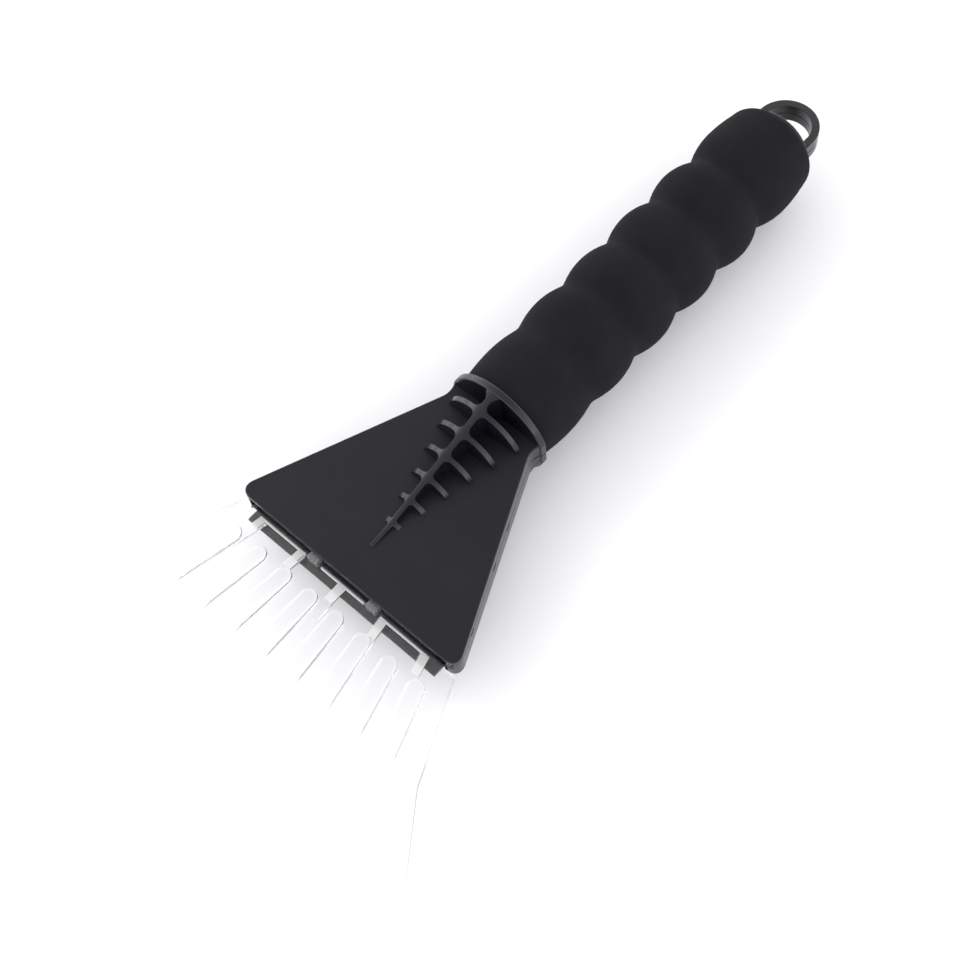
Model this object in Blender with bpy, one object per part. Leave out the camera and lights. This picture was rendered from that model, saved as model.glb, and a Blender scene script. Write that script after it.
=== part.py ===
"""Windshield ice scraper: two moulded half shells that clamp a clear blade, a foam grip and three screws.

The scraper lies on its back: +Y runs from the scraping edge to the hang ring, X is across the blade and
the blade's edge and the grip's bulges touch the surface at Z = 0. The parts are modelled with Y = 0 at the
scraping edge, and an empty carries them all so that the origin is under the middle of the whole tool.
"""

import math

import bmesh
import bpy
from mathutils import Matrix, Vector

MM = 0.001

# Whole tool
LENGTH = 255.0 * MM
BLADE_WIDTH = 133.0 * MM
AXIS_Z = 16.7 * MM
GAP = 0.3 * MM
PARTING_LOW = AXIS_Z - GAP / 2
PARTING_HIGH = AXIS_Z + GAP / 2

# Head, shared by both half shells
HEAD_FRONT_Y = 54.0 * MM
HEAD_FRONT_HALF = 41.0 * MM
NECK_Y = 112.0 * MM
NECK_HALF = 14.7 * MM
WALL = 2.0 * MM
HEAD_CORNER = 3.0 * MM
NECK_FILLET = 5.0 * MM
NECK_END_HALF = 15.7 * MM
MOUND_RADIUS = 15.8 * MM
COVER_FRONT_Z = 18.3 * MM
COVER_REAR_Z = 21.9 * MM
FLOOR_FRONT_Z = 9.2 * MM
FLOOR_REAR_Z = 10.4 * MM
FLOOR_THICKNESS = 1.7 * MM
FLOOR_EDGE_ROUND = 1.8 * MM

# Collar, core tube, end disc and hang ring
COLLAR_FRONT_Y = 114.9 * MM
COLLAR_BACK_Y = 117.1 * MM
COLLAR_RADIUS = 16.7 * MM
COLLAR_HALF = 16.2 * MM
TUBE_RADIUS = 10.0 * MM
TUBE_BORE = 7.8 * MM
DISC_FRONT_Y = 240.3 * MM
DISC_BACK_Y = 241.4 * MM
DISC_RADIUS = 11.2 * MM
RING_OUTER = 9.9 * MM
RING_INNER = 7.5 * MM
RING_HEIGHT = 6.4 * MM
RING_Y = LENGTH - RING_OUTER
PEG_YS = (150.0 * MM, 210.0 * MM)
PEG_POST_RADIUS = 3.2 * MM
PEG_RADIUS = 1.3 * MM
PEG_LENGTH = 3.0 * MM

# Backbone relief: a spine with six pairs of curved ribs, cut out of a cone that runs into the collar
CONE_TIP_Y = 60.0 * MM
CONE_RADIUS = 16.4 * MM
CONE_FLATTEN = 0.9
SPINE_TIP_Y = 65.4 * MM
SPINE_WIDTH = 2.0 * MM
SPINE_LOW_HEIGHT = 0.8 * MM
RELIEF_ROOT = 0.8 * MM
RIB_FIRST_Y = 73.2 * MM
RIB_PITCH = 7.2 * MM
RIB_COUNT = 6
RIB_THICKNESS = 1.5 * MM
RIB_SWEEP = 1.0 * MM

# Mouth of the head
FRONT_WALL_HALF = 33.0 * MM
FRONT_WALL_BOTTOM = 14.1 * MM
KEY_X = 10.9 * MM
KEY_HALF = 1.8 * MM
KEY_SLOT_HALF = 2.3 * MM
MOUTH_HALF = 36.8 * MM
LIP_Y = 51.2 * MM
LIP_HALF = 36.5 * MM
LIP_TOP = 10.5 * MM
SNAP_YS = (64.9 * MM, 82.3 * MM, 93.3 * MM)
SNAP_SIZE = (1.0 * MM, 2.4 * MM, 0.9 * MM)

# Blade
BLADE_FOLD_Y = 26.0 * MM
BLADE_FOLD_HALF = 51.8 * MM
BLADE_MOUTH_Y = 53.4 * MM
BLADE_MOUTH_HALF = 39.8 * MM
BLADE_CORNER = 3.0 * MM
TANG_END_Y = 80.0 * MM
TANG_FRONT_HALF = 36.2 * MM
TANG_END_HALF = 26.0 * MM
BLADE_THICKNESS = 2.4 * MM
EDGE_THICKNESS = 0.5 * MM
FOLD_LOW_Z = 8.6 * MM
TANG_LOW_Z = 11.2 * MM
FINGER_COUNT = 8
FINGER_PITCH = 11.45 * MM
FINGER_FOOT_Y = 25.0 * MM
FINGER_TOP_Y = 47.0 * MM
FINGER_WIDTH = 6.4 * MM
FINGER_HEIGHT = 1.8 * MM
FAN_PER_METRE = 7.5
RIDGE_XS = (-29.5 * MM, -14.8 * MM, 0.0, 14.8 * MM, 29.5 * MM)
RIDGE_WIDTH = 2.6 * MM
RIDGE_HEIGHT = 1.0 * MM
RIDGE_END_Y = 41.0 * MM
BAR_SPANS = ((-31.5 * MM, -14.0 * MM), (-8.0 * MM, 8.0 * MM), (14.0 * MM, 31.5 * MM))
BAR_FRONT_Y = 52.2 * MM
BAR_THICKNESS = 1.0 * MM
BAR_TOP = 15.0 * MM
KEY_TOP = 16.0 * MM
KEY_BACK_Y = 55.4 * MM

# Screws: two through the blade's tang, one behind it near the neck
CLAMP_SCREW_X = 22.0 * MM
CLAMP_SCREW_Y = 68.0 * MM
NECK_SCREW_Y = 96.0 * MM
SCREW_HEAD_RADIUS = 2.8 * MM
SCREW_HEAD_HEIGHT = 1.6 * MM
SCREW_CORE_RADIUS = 1.2 * MM
SCREW_THREAD_RADIUS = 1.5 * MM
SCREW_THREAD_PITCH = 1.2 * MM
SCREW_HOLE_RADIUS = 1.8 * MM
COUNTERBORE_RADIUS = 3.2 * MM
BOSS_RADIUS = 4.5 * MM
TANG_HOLE_RADIUS = 4.8 * MM
POST_RADIUS = 5.5 * MM
NECK_POST_RADIUS = 4.2 * MM
CLAMP_SEAT_Z = 11.6 * MM
CLAMP_BOSS_TOP = 14.05 * MM
CLAMP_BORE_TOP = 18.0 * MM
NECK_SEAT_Z = 8.5 * MM
NECK_BOSS_ROOT = 6.3 * MM
NECK_BOSS_TOP = 11.7 * MM
NECK_BORE_TOP = 20.0 * MM

# Foam grip
GRIP_START_Y = COLLAR_BACK_Y + GAP
GRIP_END_Y = DISC_FRONT_Y - GAP
GRIP_BORE = TUBE_RADIUS + GAP
GRIP_START_RADIUS = 15.0 * MM
GRIP_FIRST_PEAK = 16.0 * MM
GRIP_PEAK = 16.2 * MM
GRIP_LAST_PEAK = 15.9 * MM
GRIP_FIRST_VALLEY_RADIUS = 14.4 * MM
GRIP_LAST_VALLEY_RADIUS = 13.0 * MM
GRIP_FIRST_VALLEY_Y = 139.1 * MM
GRIP_BULGE_PITCH = 18.9 * MM
GRIP_VALLEYS = 5
GRIP_END_RADIUS = 14.8 * MM
GRIP_END_ROUND = 4.2 * MM

# Facets
CIRCLE_STEPS = 40
HOLE_STEPS = 20
BORE_STEPS = 32
ARCH_STEPS = 10
GRIP_STEPS = 32
BULGE_STEPS = 8
CORNER_STEPS = 5
FAR = 100.0 * MM


# ---------------------------------------------------------------------------------------------------------
# Small tools
# ---------------------------------------------------------------------------------------------------------

def clear_scene():
    for old in list(bpy.data.objects):
        bpy.data.objects.remove(old, do_unlink=True)


def make_material(name, color, roughness, metallic=0.0, alpha=1.0):
    material = bpy.data.materials.new(name)
    material.use_nodes = True
    shader = material.node_tree.nodes["Principled BSDF"]
    shader.inputs["Base Color"].default_value = (*color, 1.0)
    shader.inputs["Roughness"].default_value = roughness
    shader.inputs["Metallic"].default_value = metallic
    shader.inputs["Alpha"].default_value = alpha
    return material


def make_object(name, bm):
    bmesh.ops.recalc_face_normals(bm, faces=bm.faces)
    mesh = bpy.data.meshes.new(name)
    bm.to_mesh(mesh)
    bm.free()
    thing = bpy.data.objects.new(name, mesh)
    bpy.context.collection.objects.link(thing)
    return thing


def combine(target, tool, operation):
    """Apply one exact Boolean to target and throw the tool away."""
    modifier = target.modifiers.new(operation, "BOOLEAN")
    modifier.operation = operation
    modifier.solver = "EXACT"
    modifier.object = tool
    bpy.context.view_layer.update()
    shaped = target.evaluated_get(bpy.context.evaluated_depsgraph_get())
    mesh = bpy.data.meshes.new_from_object(shaped)
    target.modifiers.clear()
    target.data = mesh
    bpy.data.objects.remove(tool, do_unlink=True)
    return target


def add(target, tool):
    return combine(target, tool, "UNION")


def cut(target, tool):
    return combine(target, tool, "DIFFERENCE")


def keep_common(target, tool):
    return combine(target, tool, "INTERSECT")


def finish(thing, material, crease_degrees=35.0):
    thing.data.materials.clear()
    thing.data.materials.append(material)
    thing.data.shade_smooth()
    thing.data.set_sharp_from_angle(angle=math.radians(crease_degrees))
    return thing


# ---------------------------------------------------------------------------------------------------------
# Shapes
# ---------------------------------------------------------------------------------------------------------

def rounded_outline(corners):
    """Turn (x, y, radius) corners into a polygon, with an arc wherever the radius isn't zero."""
    points = []
    count = len(corners)
    for index, (x, y, radius) in enumerate(corners):
        here = Vector((x, y))
        if radius == 0.0:
            points.append(here)
            continue
        before = Vector(corners[index - 1][:2]) - here
        after = Vector(corners[(index + 1) % count][:2]) - here
        half_angle = before.angle(after) / 2
        reach = radius / math.tan(half_angle)
        inwards = (before.normalized() + after.normalized()).normalized()
        centre = here + inwards * radius / math.sin(half_angle)
        start = here + before.normalized() * reach - centre
        end = here + after.normalized() * reach - centre
        sweep = start.angle_signed(end)
        for step in range(CORNER_STEPS + 1):
            turned = start.copy()
            turned.rotate(Matrix.Rotation(-sweep * step / CORNER_STEPS, 2))
            points.append(centre + turned)
    return points


def circle_outline(radius, centre=(0.0, 0.0), steps=CIRCLE_STEPS):
    """Points round a circle, half a step off the axes so that no corner lies on a symmetry plane."""
    points = []
    for k in range(steps):
        angle = 2 * math.pi * (k + 0.5) / steps
        points.append(Vector((centre[0] + radius * math.cos(angle), centre[1] + radius * math.sin(angle))))
    return points


def prism(name, outline, low, high):
    """Stand a plan outline up between two heights; each height is a number or a function of y."""
    low_at = low if callable(low) else lambda y: low
    high_at = high if callable(high) else lambda y: high
    bm = bmesh.new()
    bottom = [bm.verts.new((x, y, low_at(y))) for x, y in outline]
    top = [bm.verts.new((x, y, high_at(y))) for x, y in outline]
    bm.faces.new(reversed(bottom))
    bm.faces.new(top)
    for index in range(len(outline)):
        after = (index + 1) % len(outline)
        bm.faces.new((bottom[index], bottom[after], top[after], top[index]))
    return make_object(name, bm)


def box(name, low, high):
    outline = [(low[0], low[1]), (high[0], low[1]), (high[0], high[1]), (low[0], high[1])]
    return prism(name, outline, low[2], high[2])


def post(name, x, y, radius, low, high, steps=HOLE_STEPS):
    return prism(name, circle_outline(radius, (x, y), steps), low, high)


def side_plate(name, profile, half_width):
    """Extrude a (y, z) side profile across X."""
    bm = bmesh.new()
    left = [bm.verts.new((-half_width, y, z)) for y, z in profile]
    right = [bm.verts.new((half_width, y, z)) for y, z in profile]
    bm.faces.new(left)
    bm.faces.new(reversed(right))
    for index in range(len(profile)):
        after = (index + 1) % len(profile)
        bm.faces.new((left[after], left[index], right[index], right[after]))
    return make_object(name, bm)


def turned_along_y(name, profile, steps=GRIP_STEPS):
    """Turn a closed (radius, y) profile about the handle's axis."""
    bm = bmesh.new()
    rings = []
    for step in range(steps):
        angle = 2 * math.pi * step / steps
        side, rise = math.cos(angle), math.sin(angle)
        rings.append([bm.verts.new((r * side, y, AXIS_Z + r * rise)) for r, y in profile])
    for step in range(steps):
        ring, following = rings[step], rings[(step + 1) % steps]
        for index in range(len(profile)):
            after = (index + 1) % len(profile)
            bm.faces.new((ring[index], ring[after], following[after], following[index]))
    return make_object(name, bm)


def rod_along_y(name, outline, start, end):
    """Extrude an (x, height above the axis) outline along Y."""
    bm = bmesh.new()
    front = [bm.verts.new((x, start, AXIS_Z + h)) for x, h in outline]
    back = [bm.verts.new((x, end, AXIS_Z + h)) for x, h in outline]
    bm.faces.new(front)
    bm.faces.new(reversed(back))
    for index in range(len(outline)):
        after = (index + 1) % len(outline)
        bm.faces.new((front[after], front[index], back[index], back[after]))
    return make_object(name, bm)


def cone_along_y(name, tip, base_y, base_radius, flatten=1.0):
    """A cone whose round base stands on the handle's axis; tip is its (y, z) point."""
    bm = bmesh.new()
    point = bm.verts.new((0.0, tip[0], tip[1]))
    base = [bm.verts.new((x * flatten, base_y, AXIS_Z + h)) for x, h in circle_outline(base_radius)]
    bm.faces.new(base)
    for index in range(len(base)):
        bm.faces.new((base[index], base[(index + 1) % len(base)], point))
    return make_object(name, bm)


# ---------------------------------------------------------------------------------------------------------
# Geometry that several pieces follow
# ---------------------------------------------------------------------------------------------------------

def slope(y, y_front, z_front, y_back, z_back):
    return z_front + (z_back - z_front) * (y - y_front) / (y_back - y_front)


def cover_top(y):
    return slope(y, HEAD_FRONT_Y, COVER_FRONT_Z, COLLAR_FRONT_Y, COVER_REAR_Z)


def cover_inside(y):
    return cover_top(y) - WALL


def floor_outside(y):
    return slope(y, HEAD_FRONT_Y, FLOOR_FRONT_Z, COLLAR_FRONT_Y, FLOOR_REAR_Z)


def floor_inside(y):
    return floor_outside(y) + FLOOR_THICKNESS


def head_side(y):
    return slope(y, HEAD_FRONT_Y, HEAD_FRONT_HALF, NECK_Y, NECK_HALF)


def head_outline(inset=0.0, mouth_half=0.0):
    """Plan of the head, or of its cavity; a cavity may run out through a mouth in the front wall."""
    front = HEAD_FRONT_Y + inset
    back = COLLAR_FRONT_Y + GAP
    right = [
        (head_side(front) - inset, front, max(HEAD_CORNER - inset, MM)),
        (NECK_HALF - inset, NECK_Y, NECK_FILLET),
        (NECK_END_HALF - inset, back, 0.0),
    ]
    if mouth_half:
        right = [(mouth_half, HEAD_FRONT_Y - MM, 0.0), (mouth_half, front, 0.0)] + right
    left = [(-x, y, radius) for x, y, radius in reversed(right)]
    return rounded_outline(right + left)


def fan(x_at_foot, y):
    """Blade ribs spread towards the edge: x of a rib at y, from its x at its foot."""
    return x_at_foot * (1.0 - FAN_PER_METRE * (y - FINGER_FOOT_Y))


def tang_low(y):
    return floor_inside(y) + GAP


# ---------------------------------------------------------------------------------------------------------
# Half shells
# ---------------------------------------------------------------------------------------------------------

def collar_and_core():
    """Collar, core tube, end disc and hang ring, whole; each shell keeps one half of it."""
    collar = rod_along_y("collar", circle_outline(COLLAR_RADIUS), COLLAR_FRONT_Y, COLLAR_BACK_Y)
    sides = (-COLLAR_HALF, -FAR, -FAR), (COLLAR_HALF, LENGTH, FAR)
    keep_common(collar, box("collar_sides", *sides))
    tube_steps = circle_outline(TUBE_RADIUS, steps=32)
    add(collar, rod_along_y("tube", tube_steps, COLLAR_FRONT_Y + GAP, DISC_FRONT_Y + GAP))
    bore = circle_outline(TUBE_BORE, steps=BORE_STEPS)
    cut(collar, rod_along_y("bore", bore, COLLAR_FRONT_Y - WALL, DISC_FRONT_Y))
    add(collar, rod_along_y("disc", circle_outline(DISC_RADIUS), DISC_FRONT_Y, DISC_BACK_Y))
    reach = TUBE_BORE + MM
    for y in PEG_YS:
        add(collar, post("peg_post", 0.0, y, PEG_POST_RADIUS, AXIS_Z - reach, AXIS_Z + reach))
    return add(collar, hang_ring())


def split_at(shell, low, high):
    """Cut away everything between two heights, which leaves one half of the tool."""
    return cut(shell, box("other_half", (-FAR, -FAR, low), (FAR, 2 * LENGTH, high)))


def hang_ring():
    low, high = AXIS_Z - RING_HEIGHT / 2, AXIS_Z + RING_HEIGHT / 2
    ring = prism("ring", ring_outline(RING_OUTER, DISC_BACK_Y - MM), low, high)
    return cut(ring, prism("ring_hole", ring_outline(RING_INNER, DISC_BACK_Y - WALL), -FAR, FAR))


def ring_outline(radius, start_y):
    """A half round about the ring's centre with straight legs that start at start_y."""
    outline = [Vector((-radius, start_y)), Vector((radius, start_y))]
    for k in range(CIRCLE_STEPS + 1):
        angle = math.pi * k / CIRCLE_STEPS
        outline.append(Vector((radius * math.cos(angle), RING_Y + radius * math.sin(angle))))
    return outline


def backbone():
    """Spine and ribs: thin upright plates cut to the surface of a cone that grows into the collar."""
    spine_half = SPINE_WIDTH / 2
    spine_start = RIB_FIRST_Y - RIB_PITCH / 2
    spine_end = COLLAR_FRONT_Y + GAP
    spine_plan = [(-spine_half, spine_start), (spine_half, spine_start),
                  (spine_half, spine_end), (-spine_half, spine_end)]
    comb = prism("spine", spine_plan, lambda y: cover_top(y) - RELIEF_ROOT, FAR)
    for index in range(RIB_COUNT):
        y = RIB_FIRST_Y + RIB_PITCH * index
        half = RIB_THICKNESS / 2
        outline = [
            (0.0, y - half), (COLLAR_RADIUS, y - half + RIB_SWEEP), (COLLAR_RADIUS, y + half + RIB_SWEEP),
            (0.0, y + half), (-COLLAR_RADIUS, y + half + RIB_SWEEP), (-COLLAR_RADIUS, y - half + RIB_SWEEP),
        ]
        add(comb, prism("rib", outline, lambda y: cover_top(y) - RELIEF_ROOT / 2, FAR))
    cone = cone_along_y("cone", (CONE_TIP_Y, AXIS_Z), COLLAR_FRONT_Y + GAP, CONE_RADIUS, CONE_FLATTEN)
    keep_common(comb, cone)
    tip = [(-spine_half / 2, SPINE_TIP_Y), (spine_half / 2, SPINE_TIP_Y),
           (spine_half * 0.95, RIB_FIRST_Y), (-spine_half * 0.95, RIB_FIRST_Y)]
    tip_root = RELIEF_ROOT * 0.8
    tip_top = SPINE_LOW_HEIGHT
    low_ridge = prism("tip", tip, lambda y: cover_top(y) - tip_root, lambda y: cover_top(y) + tip_top)
    return add(comb, low_ridge)


def front_wall():
    """The wall that closes the mouth above the blade, with two slots for the blade's keys."""
    low = (-FRONT_WALL_HALF, HEAD_FRONT_Y + GAP, FRONT_WALL_BOTTOM)
    wall = box("front_wall", low, (FRONT_WALL_HALF, HEAD_FRONT_Y + WALL, COVER_FRONT_Z - MM / 2))
    for x in (-KEY_X, KEY_X):
        slot_low = (x - KEY_SLOT_HALF, HEAD_FRONT_Y - MM, FRONT_WALL_BOTTOM - MM)
        slot_high = (x + KEY_SLOT_HALF, HEAD_FRONT_Y + WALL + MM, KEY_TOP + 2 * GAP)
        cut(wall, box("key_slot", slot_low, slot_high))
    return wall


def add_screw_post(shell, x, y, radius, boss_top, bore_top):
    """A post under the cover that a screw bites into, just above the boss of the lower shell."""
    add(shell, post("post", x, y, radius, boss_top + GAP, cover_inside(y) + MM))
    cut(shell, post("pilot", x, y, SCREW_HOLE_RADIUS, 0.0, bore_top))


def add_screw_boss(shell, x, y, root_z, boss_top, seat_z):
    """A boss on the floor with a screw hole, and a counterbore for the screw's head from below."""
    add(shell, post("boss", x, y, BOSS_RADIUS, root_z, boss_top))
    cut(shell, post("seat", x, y, COUNTERBORE_RADIUS, -FAR, seat_z))
    cut(shell, post("hole", x, y, SCREW_HOLE_RADIUS, -FAR, FAR))


def make_upper_shell(material):
    shell = prism("upper_shell", head_outline(), AXIS_Z - 2 * WALL, cover_top)
    cut(shell, prism("cavity", head_outline(WALL), -FAR, cover_inside))
    add(shell, collar_and_core())
    split_at(shell, -FAR, PARTING_HIGH)
    add(shell, front_wall())
    for x in (-CLAMP_SCREW_X, CLAMP_SCREW_X):
        add_screw_post(shell, x, CLAMP_SCREW_Y, POST_RADIUS, CLAMP_BOSS_TOP, CLAMP_BORE_TOP)
    add_screw_post(shell, 0.0, NECK_SCREW_Y, NECK_POST_RADIUS, NECK_BOSS_TOP, NECK_BORE_TOP)
    add(shell, backbone())
    for y in PEG_YS:
        cut(shell, post("socket", 0.0, y, PEG_RADIUS + GAP, AXIS_Z - FAR, PARTING_HIGH + PEG_LENGTH + GAP))
    return finish(shell, material)


def rounded_floor_body():
    """Outer body of the lower half, with its bottom edges rounded."""
    body = prism("lower_shell", head_outline(), floor_outside, AXIS_Z + WALL)
    bm = bmesh.new()
    bm.from_mesh(body.data)
    limit = (FLOOR_REAR_Z + AXIS_Z) / 2
    low_edges = [edge for edge in bm.edges if all(v.co.z < limit for v in edge.verts)]
    edges = [edge for edge in low_edges if min(v.co.y for v in edge.verts) < NECK_Y]
    bmesh.ops.bevel(bm, geom=edges, offset=FLOOR_EDGE_ROUND, segments=3, profile=0.5, affect="EDGES")
    bm.to_mesh(body.data)
    bm.free()
    return body


def make_lower_shell(material):
    shell = rounded_floor_body()
    cone_tip = (CONE_TIP_Y, FLOOR_FRONT_Z + 2 * WALL)
    add(shell, cone_along_y("mound", cone_tip, COLLAR_FRONT_Y + GAP, MOUND_RADIUS))
    cavity = prism("cavity", head_outline(WALL, MOUTH_HALF), floor_inside, FAR)
    inside_tip = (CONE_TIP_Y + 4 * WALL, cone_tip[1])
    add(cavity, cone_along_y("mound_inside", inside_tip, COLLAR_FRONT_Y - WALL, MOUND_RADIUS - WALL))
    cut(shell, cavity)
    add(shell, box("lip", (-LIP_HALF, LIP_Y, LIP_TOP - MM), (LIP_HALF, HEAD_FRONT_Y + 2 * WALL, LIP_TOP)))
    add(shell, collar_and_core())
    split_at(shell, PARTING_LOW, FAR)
    for x in (-CLAMP_SCREW_X, CLAMP_SCREW_X):
        clamp_root = floor_outside(CLAMP_SCREW_Y) + MM
        add_screw_boss(shell, x, CLAMP_SCREW_Y, clamp_root, CLAMP_BOSS_TOP, CLAMP_SEAT_Z)
    add_screw_boss(shell, 0.0, NECK_SCREW_Y, NECK_BOSS_ROOT, NECK_BOSS_TOP, NECK_SEAT_Z)
    for y in PEG_YS:
        add(shell, post("peg", 0.0, y, PEG_RADIUS, AXIS_Z - PEG_POST_RADIUS, PARTING_HIGH + PEG_LENGTH))
    for y in SNAP_YS:
        for side in (-1, 1):
            cut(shell, snap_notch(y, side))
    return finish(shell, material)


def snap_notch(y, side):
    """A small notch in the outer top edge of the lower wall, turned to follow the flared side."""
    depth, length, height = SNAP_SIZE
    notch = box("snap_notch", (-depth, -length / 2, -height), (depth, length / 2, height))
    flare = math.atan2(HEAD_FRONT_HALF - NECK_HALF, NECK_Y - HEAD_FRONT_Y)
    notch.data.transform(Matrix.Rotation(side * flare, 4, "Z"))
    notch.data.transform(Matrix.Translation((side * head_side(y), y, PARTING_LOW)))
    return notch


# ---------------------------------------------------------------------------------------------------------
# Blade
# ---------------------------------------------------------------------------------------------------------

def blade_low(y):
    if y <= BLADE_FOLD_Y:
        return slope(y, 0.0, 0.0, BLADE_FOLD_Y, FOLD_LOW_Z)
    if y <= HEAD_FRONT_Y:
        return slope(y, BLADE_FOLD_Y, FOLD_LOW_Z, HEAD_FRONT_Y, TANG_LOW_Z)
    return TANG_LOW_Z + tang_low(y) - tang_low(HEAD_FRONT_Y)


def blade_high(y):
    if y <= BLADE_FOLD_Y:
        return blade_low(y) + slope(y, 0.0, EDGE_THICKNESS, BLADE_FOLD_Y, BLADE_THICKNESS)
    return blade_low(y) + BLADE_THICKNESS


def blade_outline():
    """Plan of the blade; each side is tangent to a corner arc that ends at the stated width."""
    across = BLADE_WIDTH / 2 - BLADE_CORNER - BLADE_FOLD_HALF
    along = BLADE_FOLD_Y - BLADE_CORNER
    flare = math.atan2(along, across) - math.asin(BLADE_CORNER / math.hypot(across, along))
    right = [
        (BLADE_FOLD_HALF + BLADE_FOLD_Y / math.tan(flare), 0.0, BLADE_CORNER),
        (BLADE_FOLD_HALF, BLADE_FOLD_Y, 0.0),
        (BLADE_MOUTH_HALF, BLADE_MOUTH_Y, MM),
        (TANG_FRONT_HALF, BLADE_MOUTH_Y, 0.0),
        (TANG_END_HALF, TANG_END_Y, 2 * MM),
    ]
    left = [(-x, y, radius) for x, y, radius in reversed(right)]
    return rounded_outline(right + left)


def raised_layer(height, start_y, end_y, foot_length):
    """A slab that stands on the blade's upper side, with a short slope at its foot."""
    deep = BLADE_THICKNESS / 2
    profile = [
        (start_y, blade_high(start_y) - deep),
        (start_y, blade_high(start_y)),
        (start_y + foot_length, blade_high(start_y + foot_length) + height),
        (end_y, blade_high(end_y) + height),
        (end_y, blade_high(end_y) - deep),
    ]
    return side_plate("layer", profile, BLADE_WIDTH / 2)


def finger(index):
    """One long round-topped rib of the stiffening fan."""
    x_foot = FINGER_PITCH * (index - (FINGER_COUNT - 1) / 2)
    x_top = fan(x_foot, FINGER_TOP_Y)
    half = FINGER_WIDTH / 2
    narrow = half * fan(1.0, FINGER_TOP_Y)
    outline = [(x_foot - half, FINGER_FOOT_Y), (x_foot + half, FINGER_FOOT_Y)]
    for k in range(ARCH_STEPS + 1):
        angle = math.pi * k / ARCH_STEPS
        arch_y = FINGER_TOP_Y - narrow + narrow * math.sin(angle)
        outline.append((x_top + narrow * math.cos(angle), arch_y))
    return prism("finger", outline, 0.0, FAR)


def ridge(x_mouth):
    """One narrow rib that runs out of the mouth."""
    half = RIDGE_WIDTH / 2
    x_end = x_mouth * fan(1.0, RIDGE_END_Y) / fan(1.0, BLADE_MOUTH_Y)
    outline = [(x_end - half, RIDGE_END_Y), (x_end + half, RIDGE_END_Y),
               (x_mouth + half, BAR_FRONT_Y), (x_mouth - half, BAR_FRONT_Y)]
    return prism("ridge", outline, 0.0, FAR)


def make_blade(material):
    profile_ys = (0.0, BLADE_FOLD_Y, HEAD_FRONT_Y, TANG_END_Y)
    profile = [(y, blade_low(y)) for y in profile_ys] + [(y, blade_high(y)) for y in reversed(profile_ys)]
    blade = side_plate("scraper_blade", profile, BLADE_WIDTH)
    keep_common(blade, prism("blade_plan", blade_outline(), -FAR, FAR))
    for index in range(FINGER_COUNT):
        layer = raised_layer(FINGER_HEIGHT, FINGER_FOOT_Y, FINGER_TOP_Y + MM, 3 * MM)
        add(blade, keep_common(layer, finger(index)))
    for x in RIDGE_XS:
        layer = raised_layer(RIDGE_HEIGHT, RIDGE_END_Y, BAR_FRONT_Y + BAR_THICKNESS / 2, 4 * MM)
        add(blade, keep_common(layer, ridge(x)))
    bar_low = blade_low(BAR_FRONT_Y) + MM
    for left, right in BAR_SPANS:
        add(blade, box("bar", (left, BAR_FRONT_Y, bar_low), (right, BAR_FRONT_Y + BAR_THICKNESS, BAR_TOP)))
    for x in (-KEY_X, KEY_X):
        add(blade, box("key", (x - KEY_HALF, BAR_FRONT_Y, bar_low), (x + KEY_HALF, KEY_BACK_Y, KEY_TOP)))
    for x in (-CLAMP_SCREW_X, CLAMP_SCREW_X):
        cut(blade, post("tang_hole", x, CLAMP_SCREW_Y, TANG_HOLE_RADIUS, 0.0, FAR))
    return finish(blade, material)


# ---------------------------------------------------------------------------------------------------------
# Grip and screws
# ---------------------------------------------------------------------------------------------------------

def bulge(start_y, end_y, start_radius, peak, end_radius):
    """Radius along one finger bulge: it arches up to its peak half way and down again."""
    points = []
    for step in range(BULGE_STEPS):
        t = step / BULGE_STEPS
        base = start_radius if t < 0.5 else end_radius
        arch = 1 - (2 * t - 1) ** 2
        points.append((base + (peak - base) * arch, start_y + (end_y - start_y) * t))
    return points


def valley_radius(index):
    """The sleeve gets slimmer from valley to valley towards the ring."""
    return slope(index, 0, GRIP_FIRST_VALLEY_RADIUS, GRIP_VALLEYS - 1, GRIP_LAST_VALLEY_RADIUS)


def grip_profile():
    round_start = GRIP_END_Y - GRIP_END_ROUND
    valleys = [(GRIP_FIRST_VALLEY_Y + GRIP_BULGE_PITCH * k, valley_radius(k)) for k in range(GRIP_VALLEYS)]
    lows = [(GRIP_START_Y, GRIP_START_RADIUS)] + valleys + [(round_start, GRIP_END_RADIUS)]
    peaks = [GRIP_FIRST_PEAK] + [GRIP_PEAK] * (GRIP_VALLEYS - 1) + [GRIP_LAST_PEAK]
    profile = []
    for (start, start_radius), (end, end_radius), peak in zip(lows, lows[1:], peaks):
        profile += bulge(start, end, start_radius, peak, end_radius)
    for step in range(CORNER_STEPS + 1):
        angle = math.pi / 2 * step / CORNER_STEPS
        radius = GRIP_END_RADIUS - GRIP_END_ROUND * (1 - math.cos(angle))
        profile.append((radius, round_start + GRIP_END_ROUND * math.sin(angle)))
    return profile + [(GRIP_BORE, GRIP_END_Y), (GRIP_BORE, GRIP_START_Y)]


def make_grip(material):
    return finish(turned_along_y("foam_grip", grip_profile()), material)


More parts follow.
